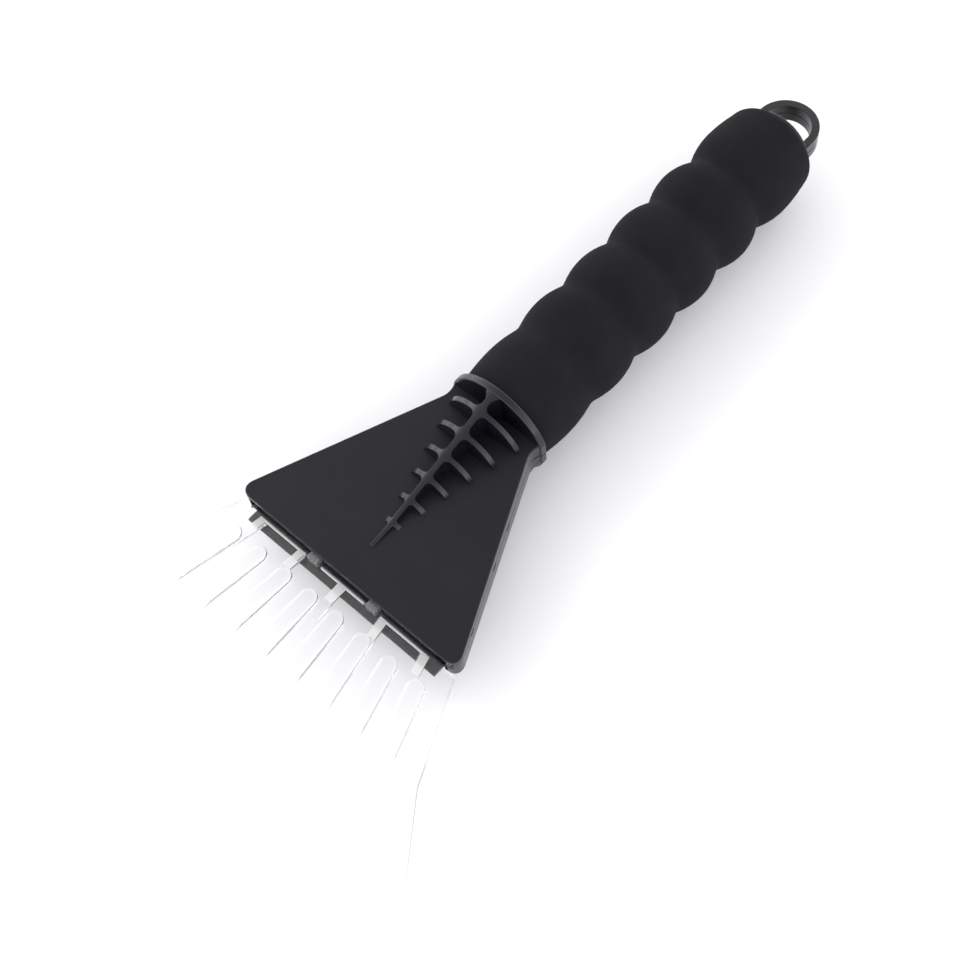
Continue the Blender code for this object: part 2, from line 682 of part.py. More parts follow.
def screw_profile(length):
    """Half profile of a pan head screw that points up: (radius, z), with its thread drawn as rings."""
    head = SCREW_HEAD_RADIUS
    profile = [
        (head * 0.75, 0.0), (head, SCREW_HEAD_HEIGHT * 0.5), (head, SCREW_HEAD_HEIGHT),
        (SCREW_CORE_RADIUS, SCREW_HEAD_HEIGHT),
    ]
    tip = length - SCREW_THREAD_PITCH * 1.5
    z = SCREW_HEAD_HEIGHT + SCREW_THREAD_PITCH
    while z + SCREW_THREAD_PITCH < tip:
        profile += [(SCREW_CORE_RADIUS, z), (SCREW_THREAD_RADIUS, z + SCREW_THREAD_PITCH * 0.4),
                    (SCREW_CORE_RADIUS, z + SCREW_THREAD_PITCH * 0.8)]
        z += SCREW_THREAD_PITCH
    profile.append((SCREW_CORE_RADIUS, tip))
    return profile


def make_screw(name, x, y, seat_z, bore_top, material):
    """A screw from below: its head sits under the seat and its point ends short of the bore's end."""
    start = seat_z - GAP - SCREW_HEAD_HEIGHT
    length = bore_top - GAP - start
    bm = bmesh.new()
    profile = screw_profile(length)
    steps = 16
    rings = []
    for step in range(steps):
        angle = 2 * math.pi * step / steps
        rings.append([bm.verts.new((r * math.cos(angle), r * math.sin(angle), z)) for r, z in profile])
    bottom = bm.verts.new((0.0, 0.0, 0.0))
    point = bm.verts.new((0.0, 0.0, length))
    for step in range(steps):
        ring, following = rings[step], rings[(step + 1) % steps]
        for index in range(len(profile) - 1):
            bm.faces.new((ring[index], following[index], following[index + 1], ring[index + 1]))
        bm.faces.new((bottom, following[0], ring[0]))
        bm.faces.new((ring[-1], following[-1], point))
    screw = make_object(name, bm)
    arm, half = SCREW_HEAD_RADIUS * 0.62, 0.35 * MM
    cross = box("cross", (-arm, -half, -MM), (arm, half, SCREW_HEAD_HEIGHT * 0.6))
    add(cross, box("cross_arm", (-half, -arm, -MM), (half, arm, SCREW_HEAD_HEIGHT * 0.6)))
    cut(screw, cross)
    screw.location = (x, y, start)
    return finish(screw, material)


# ---------------------------------------------------------------------------------------------------------
# Whole tool
# ---------------------------------------------------------------------------------------------------------

def main():
    clear_scene()
    black_abs = make_material("black_abs", (0.032, 0.032, 0.036), 0.42)
    clear_pc = make_material("clear_polycarbonate", (0.93, 0.95, 0.96), 0.06, alpha=0.35)
    black_foam = make_material("black_foam", (0.018, 0.018, 0.019), 0.95)
    zinc = make_material("zinc_plated_steel", (0.55, 0.55, 0.56), 0.35, metallic=1.0)

    pieces = [
        make_upper_shell(black_abs),
        make_lower_shell(black_abs),
        make_blade(clear_pc),
        make_grip(black_foam),
        make_screw("clamp_screw_left", -CLAMP_SCREW_X, CLAMP_SCREW_Y, CLAMP_SEAT_Z, CLAMP_BORE_TOP, zinc),
        make_screw("clamp_screw_right", CLAMP_SCREW_X, CLAMP_SCREW_Y, CLAMP_SEAT_Z, CLAMP_BORE_TOP, zinc),
        make_screw("neck_screw", 0.0, NECK_SCREW_Y, NECK_SEAT_Z, NECK_BORE_TOP, zinc),
    ]
    carrier = bpy.data.objects.new("scraper", None)
    bpy.context.collection.objects.link(carrier)
    carrier.location = (0.0, -LENGTH / 2, 0.0)
    for piece in pieces:
        piece.parent = carrier


main()
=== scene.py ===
"""Windshield ice scraper: the finished looks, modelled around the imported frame.

Every place on the tool is given in millimetres in its own frame: x across the blade, y from the scraping
edge towards the hang ring, z up from the table. The function spot turns such a place into the scene's
metres. The studio's places are in metres already.
"""

import math

import bmesh
import bpy
from bpy.props import FloatProperty, FloatVectorProperty, PointerProperty
from mathutils import Matrix, Vector


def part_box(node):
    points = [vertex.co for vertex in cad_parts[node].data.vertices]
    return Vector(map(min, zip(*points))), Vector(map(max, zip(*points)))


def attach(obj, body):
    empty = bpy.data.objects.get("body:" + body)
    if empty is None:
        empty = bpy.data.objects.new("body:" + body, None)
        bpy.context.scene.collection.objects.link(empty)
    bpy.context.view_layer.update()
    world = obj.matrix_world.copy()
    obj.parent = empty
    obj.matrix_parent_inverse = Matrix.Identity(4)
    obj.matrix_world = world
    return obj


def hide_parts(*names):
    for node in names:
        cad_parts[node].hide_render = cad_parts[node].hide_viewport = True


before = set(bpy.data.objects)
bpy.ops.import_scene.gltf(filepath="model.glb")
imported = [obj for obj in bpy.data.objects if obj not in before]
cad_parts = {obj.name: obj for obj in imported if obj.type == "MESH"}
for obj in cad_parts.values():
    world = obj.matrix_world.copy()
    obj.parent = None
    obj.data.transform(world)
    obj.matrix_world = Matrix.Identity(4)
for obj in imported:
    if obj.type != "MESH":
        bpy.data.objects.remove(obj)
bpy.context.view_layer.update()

bl_info = {
    "name": "Windshield ice scraper",
    "version": (1, 0, 0),
    "blender": (4, 5, 0),
    "location": "3D View > Sidebar > Scraper",
    "description": "Models the shells, blade, grip and screws of a hand ice scraper and its studio",
    "category": "Add Mesh",
}

MM = 0.001
EDGE_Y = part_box("scraper_blade")[0].y
GRIP_LOW, GRIP_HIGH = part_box("foam_grip")
AXIS = (GRIP_LOW.z + GRIP_HIGH.z) / 2 / MM
GRIP_START, GRIP_END = (GRIP_LOW.y - EDGE_Y) / MM, (GRIP_HIGH.y - EDGE_Y) / MM
LENGTH = (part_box("upper_shell")[1].y - EDGE_Y) / MM

# Head and neck
HEAD_FRONT, HEAD_HALF = 54.0, 41.0
NECK, NECK_HALF = 112.0, 14.7
NECK_END, NECK_END_HALF = 115.2, 15.7
COVER = (18.3, 21.9)
FLOOR = (9.2, 10.4)
WALL, FLOOR_WALL = 2.0, 1.7
SLOPE_END = 114.9
MOUTH_HALF = 36.8
SNAP_YS = (64.9, 82.3, 93.3)
MOUND_RADIUS, HOLLOW_RADIUS = 15.8, 13.8
SLOT_HALF, SLOT_TOP = 2.3, 16.6
PILOT_RADIUS, BOSS_RADIUS, SEAT_RADIUS = 1.8, 4.5, 3.2
UPPER_FROM, LOWER_TO = AXIS + 0.15, AXIS - 0.15

# Collar, tube, disc and ring
COLLAR = (114.9, 117.1)
COLLAR_RADIUS, COLLAR_HALF = 16.7, 16.2
TUBE_RADIUS, TUBE_BORE = 10.0, 7.8
DISC, DISC_RADIUS = (240.3, 241.4), 10.9
RING_OUTER, RING_INNER, RING_HALF = 9.9, 7.5, 3.2
RING_Y = LENGTH - RING_OUTER

# Ribs of the backbone
RIB_YS = [73.2 + 7.2 * k for k in range(6)]
CONE_TIP, CONE_RADIUS, CONE_FLATTEN = 60.0, 16.4, 0.9

# Blade
EDGE_WIDTH, CORNER = 133.0, 3.0
SHOULDER_Y, RIDGE_FOOT = 53.4, 41.0
FOLD, FOLD_Z, FOLD_HALF = 26.0, 8.6, 51.8
TANG_Z, TANG_END = 11.2, 80.0
BLADE_THICK, EDGE_THICK = 2.4, 0.5
FINGERS, FINGER_PITCH, FINGER_FOOT, FINGER_TOP = 8, 11.45, 25.0, 47.0
FAN = 0.0075
RIDGE_XS = (-29.5, -14.8, 0.0, 14.8, 29.5)
BARS = ((-31.5, -14.0), (-8.0, 8.0), (14.0, 31.5))
KEY_X, SCREW_X, SCREW_Y, NECK_SCREW_Y = 10.9, 22.0, 68.0, 96.0


# ---------------------------------------------------------------------------------------------------------
# Hand tools: each wraps the operator that a modeller would press
# ---------------------------------------------------------------------------------------------------------

def spot(x, y, z):
    return Vector((x * MM, EDGE_Y + y * MM, z * MM))


def place(co):
    """The millimetre place of a vertex, the reverse of spot."""
    return Vector((co.x / MM, (co.y - EDGE_Y) / MM, co.z / MM))


def clear_selection():
    if bpy.context.object is not None and bpy.context.object.mode != "OBJECT":
        bpy.ops.object.mode_set(mode="OBJECT")
    bpy.ops.object.select_all(action="DESELECT")


def only(thing, mode="EDIT"):
    """Leave one object selected and active, in edit mode with everything in it selected."""
    clear_selection()
    thing.select_set(True)
    bpy.context.view_layer.objects.active = thing
    if mode == "EDIT":
        bpy.ops.object.mode_set(mode="EDIT")
        bpy.ops.mesh.select_all(action="SELECT")
    return thing


def settle(name):
    """Name the primitive that was just added and put its place into its mesh."""
    thing = bpy.context.object
    thing.name = thing.data.name = name
    bpy.ops.object.transform_apply(location=True, rotation=True, scale=True)
    return thing


def block(name, low, high):
    clear_selection()
    middle = [(a + b) / 2 for a, b in zip(low, high)]
    size = [(b - a) * MM for a, b in zip(low, high)]
    bpy.ops.mesh.primitive_cube_add(size=1, location=spot(*middle), scale=size)
    return settle(name)


def drum(name, middle, radius, length, along="Z", sides=48):
    """A cylinder about a millimetre place, standing along Z or lying along Y."""
    clear_selection()
    turn = (math.pi / 2, 0, 0) if along == "Y" else (0, 0, 0)
    bpy.ops.mesh.primitive_cylinder_add(
        vertices=sides, radius=radius * MM, depth=length * MM, location=spot(*middle), rotation=turn)
    return settle(name)


def drawn_cone(name, radius, tip, length, sides):
    """A cone along Y on the handle's axis with its point at tip, left in edit mode."""
    clear_selection()
    bpy.ops.mesh.primitive_cone_add(
        vertices=sides, radius1=radius * MM, depth=length * MM,
        location=spot(0, tip + length / 2, AXIS), rotation=(math.pi / 2, 0, 0))
    return only(settle(name))


def pick(thing, kind, test):
    """Select vertices, edges or faces by the places of their corners and, in degrees, by an edge's bend."""
    bpy.ops.mesh.select_mode(type=kind)
    bpy.ops.mesh.select_all(action="DESELECT")
    shape = bmesh.from_edit_mesh(thing.data)
    count = 0
    for part in {"VERT": shape.verts, "EDGE": shape.edges, "FACE": shape.faces}[kind]:
        corners = [part] if kind == "VERT" else part.verts
        extra = None
        if kind == "EDGE":
            extra = math.degrees(part.calc_face_angle(0.0))
        elif kind == "FACE":
            extra = part.normal
        if test([place(corner.co) for corner in corners], extra):
            part.select_set(True)
            count += 1
    bmesh.update_edit_mesh(thing.data)
    return count


def push(x=0.0, y=0.0, z=0.0):
    bpy.ops.transform.translate(value=(x * MM, y * MM, z * MM))


def scale(value, centre):
    bpy.ops.transform.resize(value=value, center_override=spot(*centre))


def pull_out(x=0.0, y=0.0, z=0.0):
    """Extrude what is selected."""
    bpy.ops.mesh.extrude_region_move(TRANSFORM_OT_translate={"value": (x * MM, y * MM, z * MM)})


def strip(name, stations, height):
    """A flat strip across X, extruded along Y from station to station; each is a (y, half width) pair."""
    (y, half), (next_y, next_half) = stations[:2]
    clear_selection()
    centre = (0.0, (y + next_y) / 2, height)
    bpy.ops.mesh.primitive_plane_add(size=2 * MM, location=spot(*centre))
    thing = only(settle(name))
    scale((half, (next_y - y) / 2, 1), centre)
    pick(thing, "EDGE", lambda ps, bend: all(abs(p.y - next_y) < 0.01 for p in ps))
    scale((next_half / half, 1, 1), (0, next_y, height))
    for far_y, far_half in stations[2:]:
        pull_out(y=far_y - next_y)
        scale((far_half / next_half, 1, 1), (0, far_y, height))
        next_y, next_half = far_y, far_half
    return thing


def one_face():
    """Melt the flat strip in edit mode into a single face, so that its outline can be rounded."""
    bpy.ops.mesh.select_mode(type="FACE")
    bpy.ops.mesh.select_all(action="SELECT")
    bpy.ops.mesh.dissolve_faces(use_verts=False)
    bpy.ops.mesh.select_all(action="SELECT")
    bpy.ops.mesh.dissolve_limited(angle_limit=math.radians(0.5))


def round_corners(thing, test, radius, steps=6):
    """Round the picked corners of a flat outline to a radius; they all have the same angle."""
    pick(thing, "VERT", lambda ps, extra: test(ps[0]))
    corner = next(v for v in bmesh.from_edit_mesh(thing.data).verts if v.select)
    ways = [edge.other_vert(corner).co - corner.co for edge in corner.link_edges]
    slide = radius / math.tan(ways[0].angle(ways[1]) / 2)
    bpy.ops.mesh.bevel(offset=slide * MM, segments=steps, affect="VERTICES", profile=0.5)


def stand_up(rise):
    """Extrude the flat outline in edit mode upwards into a solid."""
    bpy.ops.mesh.select_all(action="SELECT")
    pull_out(z=rise)
    tidy_normals()


def tidy_normals():
    bpy.ops.mesh.select_all(action="SELECT")
    bpy.ops.mesh.remove_doubles(threshold=0.002 * MM)
    bpy.ops.mesh.normals_make_consistent(inside=False)


def slice_off(thing, point, normal):
    """Cut off what lies beyond a plane and close the cut."""
    only(thing)
    bpy.ops.mesh.bisect(plane_co=spot(*point), plane_no=Vector(normal).normalized(), use_fill=True,
                        clear_outer=True)
    return thing


def round_edges(thing, radius, test=None, steps=3, least_bend=30.0):
    """Round the sharp edges that pass the test."""
    only(thing)
    found = pick(thing, "EDGE", lambda ps, bend: bend > least_bend and (test is None or test(ps)))
    if found:
        bpy.ops.mesh.bevel(offset=radius * MM, segments=steps, affect="EDGES", profile=0.5,
                           clamp_overlap=True, miter_outer="ARC" if steps > 2 else "SHARP")
    bpy.ops.object.mode_set(mode="OBJECT")
    return thing


def combine(target, tool, operation):
    """Apply one Boolean and throw its tool away; an empty result is tried once more, the tolerant way."""
    before = target.data.copy()
    for tolerant in (False, True):
        only(target, "OBJECT")
        bpy.ops.object.modifier_add(type="BOOLEAN")
        modifier = target.modifiers[-1]
        modifier.operation = operation
        modifier.solver = "EXACT"
        modifier.use_hole_tolerant = tolerant
        modifier.object = tool
        bpy.ops.object.modifier_apply(modifier=modifier.name)
        if target.data.polygons:
            break
        target.data = before.copy()
    else:
        raise RuntimeError(f"{operation} of {target.name} and {tool.name} left nothing")
    bpy.data.objects.remove(tool, do_unlink=True)
    return target


def add(target, tool):
    return combine(target, tool, "UNION")


def cut(target, tool):
    return combine(target, tool, "DIFFERENCE")


def copy_of(thing, name):
    """A copy with its own mesh."""
    clear_selection()
    twin = thing.copy()
    twin.data = thing.data.copy()
    twin.name = twin.data.name = name
    bpy.context.collection.objects.link(twin)
    return twin


def finish_piece(thing, material, slot, *nodes, smooth=32.0):
    """Smooth shading, a material and the facts that the frame needs about a piece."""
    only(thing)
    bpy.ops.mesh.remove_doubles(threshold=0.001 * MM)
    bpy.ops.object.mode_set(mode="OBJECT")
    bpy.ops.object.shade_smooth_by_angle(angle=math.radians(smooth))
    bpy.ops.object.modifier_add(type="WEIGHTED_NORMAL")
    thing.modifiers[-1].keep_sharp = True
    bpy.ops.object.modifier_apply(modifier=thing.modifiers[-1].name)
    thing.data.materials.clear()
    thing.data.materials.append(material)
    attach(thing, "root")
    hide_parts(*nodes)
    clear_selection()
    return thing


# ---------------------------------------------------------------------------------------------------------
# Surfaces that several pieces follow
# ---------------------------------------------------------------------------------------------------------

def between(y, y_from, z_from, y_to, z_to):
    return z_from + (z_to - z_from) * (y - y_from) / (y_to - y_from)


def cover_at(y):
    return between(y, HEAD_FRONT, COVER[0], SLOPE_END, COVER[1])


def floor_at(y):
    return between(y, HEAD_FRONT, FLOOR[0], SLOPE_END, FLOOR[1])


def side_at(y):
    return between(y, HEAD_FRONT, HEAD_HALF, NECK, NECK_HALF)


def plate_at(y):
    """Height of the blade's upper side in front of the head."""
    if y < FOLD:
        return between(y, 0.0, EDGE_THICK, FOLD, FOLD_Z + BLADE_THICK)
    return between(y, FOLD, FOLD_Z + BLADE_THICK, HEAD_FRONT, TANG_Z + BLADE_THICK)


def slanted(height_at, lift=0.0):
    """A point and an upward normal of a plane that rises along Y."""
    first, second = height_at(60.0) + lift, height_at(110.0) + lift
    return (0.0, 60.0, first), (0.0, first - second, 50.0)


def downward(plane):
    point, normal = plane
    return point, tuple(-n for n in normal)


# ---------------------------------------------------------------------------------------------------------
# Shells
# ---------------------------------------------------------------------------------------------------------

def head_solid(name, inset, low, high):
    """The head's plan with rounded corners, standing from one height to another."""
    front = HEAD_FRONT + inset
    stations = [(front, side_at(front) - inset), (NECK, NECK_HALF - inset), (NECK_END, NECK_END_HALF - inset)]
    thing = strip(name, stations, low)
    one_face()
    round_corners(thing, lambda p: p.y < front + 0.1, max(3.0 - inset, 1.0))
    round_corners(thing, lambda p: abs(p.y - NECK) < 0.1, 5.0)
    stand_up(high - low)
    return thing


def half_round(name, radius, start_y, low, high):
    """The ring's shape: a half round about its centre, with straight legs that start at start_y."""
    clear_selection()
    bpy.ops.mesh.primitive_circle_add(
        vertices=96, radius=radius * MM, fill_type="NGON", location=spot(0, RING_Y, low))
    thing = only(settle(name))
    pick(thing, "VERT", lambda ps, extra: ps[0].y < RING_Y - 0.1)
    scale((1, 0, 1), (0, start_y, low))
    stand_up(high - low)
    return thing


def handle_core():
    """Collar, tube, end disc and ring in one; each shell keeps the half on its side of the parting."""
    core = drum("core", (0, sum(COLLAR) / 2, AXIS), COLLAR_RADIUS, COLLAR[1] - COLLAR[0], "Y", 128)
    slice_off(core, (COLLAR_HALF, 0, 0), (1, 0, 0))
    slice_off(core, (-COLLAR_HALF, 0, 0), (-1, 0, 0))
    round_edges(core, 0.45)
    tube_middle, tube_length = (COLLAR[0] + 0.3 + DISC[0] + 0.3) / 2, DISC[0] - COLLAR[0]
    add(core, drum("tube", (0, tube_middle, AXIS), TUBE_RADIUS, tube_length, "Y", 64))
    bore_from, bore_to = COLLAR[0] - WALL, DISC[0]
    bore = drum("bore", (0, (bore_from + bore_to) / 2, AXIS), TUBE_BORE, bore_to - bore_from, "Y", 64)
    cut(core, bore)
    disc = drum("disc", (0, sum(DISC) / 2, AXIS), DISC_RADIUS, DISC[1] - DISC[0], "Y", 96)
    add(core, round_edges(disc, 0.3))
    ring = half_round("ring", RING_OUTER, DISC[1] - 1, AXIS - RING_HALF, AXIS + RING_HALF)
    cut(ring, half_round("ring_hole", RING_INNER, DISC[1] - 2, AXIS - 10, AXIS + 10))
    return add(core, round_edges(ring, 0.45, lambda ps: min(p.y for p in ps) > DISC[1] - 0.5))


def screw_post(shell, x, y, radius, low, bore_top):
    """A post under the cover with the pilot hole that a screw bites into."""
    top = cover_at(y) - 1.0
    add(shell, drum("post", (x, y, (low + top) / 2), radius, top - low, sides=32))
    cut(shell, drum("pilot", (x, y, bore_top / 2), PILOT_RADIUS, bore_top, sides=32))


def backbone():
    """Spine and six pairs of swept ribs with round pockets between them, cut to a cone."""
    rib_half, sweep, reach = 0.66, 1.0, 15.6
    halves = [0.72 + 0.05 * k for k in range(len(RIB_YS))]
    stations = [(RIB_YS[0] - 2.0, halves[0])]
    for y, half in zip(RIB_YS, halves):
        stations += [(y - rib_half, half), (y + rib_half, half)]
    stations += [(NECK_END - 2.4, halves[-1]), (NECK_END - 0.2, halves[-1] + 1.5)]
    comb = strip("backbone", stations, AXIS)
    for y, half in zip(RIB_YS, halves):
        for side in (-1, 1):
            pick(comb, "EDGE", lambda ps, bend: all(
                abs(p.x - side * half) < 0.01 and abs(abs(p.y - y) - rib_half) < 0.01 for p in ps)
                and abs(ps[0].y - ps[1].y) > 1)
            pull_out(x=side * reach, y=sweep)
    one_face()
    for k, (y, half) in enumerate(zip(RIB_YS, halves)):
        round_corners(comb, lambda p: abs(abs(p.x) - half) < 0.01 and abs(abs(p.y - y) - rib_half) < 0.01,
                      min(0.7 + 0.35 * k, 1.9), steps=5)
    stand_up(20.0)
    slice_off(comb, *downward(slanted(cover_at, -0.8)))
    cone_length = NECK_END - CONE_TIP
    cone = drawn_cone("cone", CONE_RADIUS, CONE_TIP, cone_length, 128)
    scale((CONE_FLATTEN, 1, 1), (0, 0, AXIS))
    combine(comb, cone, "INTERSECT")

    def on_cone(p):
        away = math.hypot(p.x / CONE_FLATTEN, p.z - AXIS)
        return abs(away - CONE_RADIUS * (p.y - CONE_TIP) / cone_length) < 0.04

    tip = strip("spine_tip", [(64.7, 0.4), (65.2, 0.62), (RIB_YS[0] + 0.4, halves[0])], AXIS)
    one_face()
    stand_up(8.0)
    slice_off(tip, (0, 64.7, cover_at(64.7) + 0.3), (0, -1.35, 8.9))
    slice_off(tip, *downward(slanted(cover_at, -0.7)))
    round_edges(tip, 0.22, lambda ps: all(p.z > cover_at(p.y) for p in ps))
    add(comb, tip)
    only(comb)
    bpy.ops.mesh.remove_doubles(threshold=0.02 * MM)
    return round_edges(comb, 0.3, lambda ps: all(on_cone(p) for p in ps), least_bend=40.0)


def front_wall():
    """The wall over the blade: three bands with the two key slots between them."""
    low, high = (-33.0, HEAD_FRONT + 0.3, 14.1), (33.0, HEAD_FRONT + WALL, COVER[0] - 0.5)
    wall = block("front_wall", low, high)
    for x in (-KEY_X, KEY_X):
        low, high = (x - SLOT_HALF, HEAD_FRONT - 1, 13.1), (x + SLOT_HALF, HEAD_FRONT + 3, SLOT_TOP)
        slot = block("slot", low, high)
        cut(wall, round_edges(slot, 0.4, lambda ps: all(p.z > SLOT_TOP - 0.6 for p in ps)
                              and ps[0].x == ps[1].x))
    return round_edges(wall, 0.25, lambda ps: max(p.z for p in ps) < COVER[0] - 0.6)


def model_upper_shell():
    shell = head_solid("upper_shell_moulding", 0.0, UPPER_FROM, COVER[1] + 2)
    slice_off(shell, *slanted(cover_at))
    round_edges(shell, 0.5, lambda ps: all(abs(p.z - cover_at(p.y)) < 0.01 for p in ps)
                and min(p.y for p in ps) < NECK_END - 0.1)
    cavity = head_solid("cavity", WALL, AXIS - 5, COVER[1] + 2)
    slice_off(cavity, *slanted(cover_at, -WALL))
    cut(shell, cavity)
    core = slice_off(handle_core(), (0, 0, UPPER_FROM), (0, 0, -1))
    add(shell, core)
    add(shell, front_wall())
    for x in (-SCREW_X, SCREW_X):
        screw_post(shell, x, SCREW_Y, 5.5, 14.35, 18.0)
    screw_post(shell, 0.0, NECK_SCREW_Y, 4.2, 12.0, 20.0)
    return add(shell, backbone())


def neck_mound(radius, start, short_by):
    """A cone that swells from the floor of the head and stops a little short of the neck's end."""
    cone = drawn_cone("mound", radius, start, NECK_END - start - short_by, 96)
    pick(cone, "VERT", lambda ps, extra: ps[0].y < start + 0.1)
    push(z=FLOOR[0] + 4 - AXIS)
    return cone


def model_lower_shell():
    shell = head_solid("lower_shell_moulding", 0.0, FLOOR[0] - 2, AXIS + 2)
    slice_off(shell, *downward(slanted(floor_at)))
    round_edges(shell, 1.8, lambda ps: all(abs(p.z - floor_at(p.y)) < 0.01 for p in ps)
                and min(p.y for p in ps) < NECK_END - 0.1, steps=5)
    add(shell, neck_mound(MOUND_RADIUS, CONE_TIP, 0.0))
    inside = neck_mound(HOLLOW_RADIUS, CONE_TIP + 8.0, WALL + 0.3)
    cavity = head_solid("cavity", WALL, FLOOR[0] - 1, AXIS + 10)
    slice_off(cavity, *downward(slanted(floor_at, FLOOR_WALL)))
    cut(shell, cavity)
    cut(shell, inside)
    mouth_floor = floor_at(HEAD_FRONT) + FLOOR_WALL
    cut(shell, block("mouth", (-MOUTH_HALF, HEAD_FRONT - 1, mouth_floor), (MOUTH_HALF, 57.5, AXIS + 10)))
    lip = block("lip", (-35.0, 50.6, 9.5), (35.0, 58.0, 10.5))
    add(shell, round_edges(lip, 0.2, lambda ps: max(p.y for p in ps) < 52))
    slice_off(shell, (0, 0, LOWER_TO), (0, 0, 1))
    core = slice_off(handle_core(), (0, 0, LOWER_TO), (0, 0, 1))
    add(shell, core)
    clamp_boss, neck_boss = (10.5, 14.05, 11.6), (6.3, 11.7, 8.5)
    for x, y, (root, top, seat) in ((-SCREW_X, SCREW_Y, clamp_boss), (SCREW_X, SCREW_Y, clamp_boss),
                                    (0.0, NECK_SCREW_Y, neck_boss)):
        add(shell, drum("boss", (x, y, (root + top) / 2), BOSS_RADIUS, top - root, sides=40))
        cut(shell, drum("seat", (x, y, seat - 10), SEAT_RADIUS, 20, sides=40))
        cut(shell, drum("hole", (x, y, 10), PILOT_RADIUS, 30, sides=32))
    flare = math.atan2(HEAD_HALF - NECK_HALF, NECK - HEAD_FRONT)
    for y in SNAP_YS:
        for side in (-1, 1):
            x = side * side_at(y)
            low, high = (x - 1.0, y - 1.2, LOWER_TO - 0.9), (x + 1.0, y + 1.2, LOWER_TO + 0.5)
            notch = only(block("snap_notch", low, high))
            bpy.ops.transform.rotate(
                value=-side * flare, orient_axis="Z", center_override=spot(x, y, LOWER_TO))
            cut(shell, notch)
    return shell


# ---------------------------------------------------------------------------------------------------------
# Blade
# ---------------------------------------------------------------------------------------------------------

def blade_plate():
    """The folded plate: a block whose end face is pulled back step by step, cut to the blade's plan."""
    wide = 70.0
    plate = only(block("clear_blade", (-wide, 0, FOLD_Z), (wide, FOLD, FOLD_Z + BLADE_THICK)))
    pick(plate, "FACE", lambda ps, normal: normal.y < -0.9)
    push(z=-FOLD_Z - (BLADE_THICK - EDGE_THICK) / 2)
    scale((1, 1, EDGE_THICK / BLADE_THICK), (0, 0, EDGE_THICK / 2))
    pick(plate, "FACE", lambda ps, normal: normal.y > 0.9)
    pull_out(y=HEAD_FRONT - FOLD, z=TANG_Z - FOLD_Z)
    pull_out(y=TANG_END - HEAD_FRONT, z=floor_at(TANG_END) - floor_at(HEAD_FRONT))
    across, along = EDGE_WIDTH / 2 - CORNER - FOLD_HALF, FOLD - CORNER
    flare = math.atan2(along, across) - math.asin(CORNER / math.hypot(across, along))
    plan = strip("plan", [(0.0, FOLD_HALF + FOLD / math.tan(flare)), (FOLD, FOLD_HALF), (SHOULDER_Y, 39.8),
                          (53.41, 36.2), (TANG_END, 26.0)], -5.0)
    one_face()
    round_corners(plan, lambda p: p.y < 0.1, CORNER, steps=10)
    round_corners(plan, lambda p: p.y > TANG_END - 0.1, 2.0)
    round_corners(plan, lambda p: abs(p.y - SHOULDER_Y) < 0.005 and abs(p.x) > 39, 1.0)
    stand_up(40.0)
    combine(plate, plan, "INTERSECT")
    return plate


def raised_rib(name, half, start, end, end_half, height, foot, round_end, softness):
    """A straight rib on the plate's slope with a ramp at its foot, modelled once and then copied."""
    rib = strip(name, [(start, half), (end, end_half)], 4.0)
    if round_end:
        round_corners(rib, lambda p: p.y > end - 0.1, end_half - 0.02, steps=10)
    stand_up(20.0)
    point = (0, 30.0, plate_at(30.0) + height)
    rise = plate_at(50.0) - plate_at(30.0)
    slice_off(rib, point, (0, -rise, 20.0))
    slice_off(rib, (0, 30.0, plate_at(30.0) - BLADE_THICK / 2), (0, rise, -20.0))
    slice_off(rib, (0, start, plate_at(start) - 0.1), (0, -height - 0.1, foot))
    return round_edges(rib, softness, lambda ps: all(p.z > plate_at(p.y) + 0.3 for p in ps), steps=4)


def fan_out(rib, x, y, name):
    """A copy of a rib at x, turned about its foot so that the ribs draw together towards the head."""
    twin = only(copy_of(rib, name))
    angle = math.atan(FAN * x)
    push(x=x)
    scale((1, 1 / math.cos(angle), 1), (0, y, 0))
    bpy.ops.transform.rotate(value=-angle, orient_axis="Z", center_override=spot(x, y, 10))
    return twin


def model_blade():
    blade = blade_plate()
    finger = raised_rib("finger", 3.2, FINGER_FOOT, FINGER_TOP, 2.7, 1.8, 3.0, True, 1.3)
    for k in range(FINGERS):
        add(blade, fan_out(finger, FINGER_PITCH * (k - (FINGERS - 1) / 2), FINGER_FOOT, "finger_copy"))
    bpy.data.objects.remove(finger, do_unlink=True)
    ridge = raised_rib("ridge", 1.3, RIDGE_FOOT, 52.6, 1.45, 1.0, 4.0, False, 0.4)
    for x in RIDGE_XS:
        at_foot = x * (1 - FAN * (RIDGE_FOOT - FINGER_FOOT)) / (1 - FAN * (SHOULDER_Y - FINGER_FOOT))
        add(blade, fan_out(ridge, at_foot, RIDGE_FOOT, "ridge_copy"))
    bpy.data.objects.remove(ridge, do_unlink=True)
    for left, right in BARS:
        bar = block("bar", (left, 52.45, 12.5), (right, 53.0, 14.4))
        add(blade, round_edges(bar, 0.12, lambda ps: min(p.z for p in ps) > 13.5 or ps[0].z != ps[1].z))
    for x in (-KEY_X, KEY_X):
        key = block("key", (x - 1.8, 52.1, 12.4), (x + 1.8, 55.4, 16.0))
        add(blade, round_edges(key, 0.3, lambda ps: min(p.z for p in ps) > 13.5 or ps[0].z != ps[1].z))
    for x in (-SCREW_X, SCREW_X):
        cut(blade, drum("tang_hole", (x, SCREW_Y, 12), 4.8, 20, sides=48))
    round_edges(blade, 0.12, lambda ps: max(p.y for p in ps) < 25.5 and min(p.y for p in ps) > -1, steps=2)
    return blade


# ---------------------------------------------------------------------------------------------------------
# Grip
# ---------------------------------------------------------------------------------------------------------

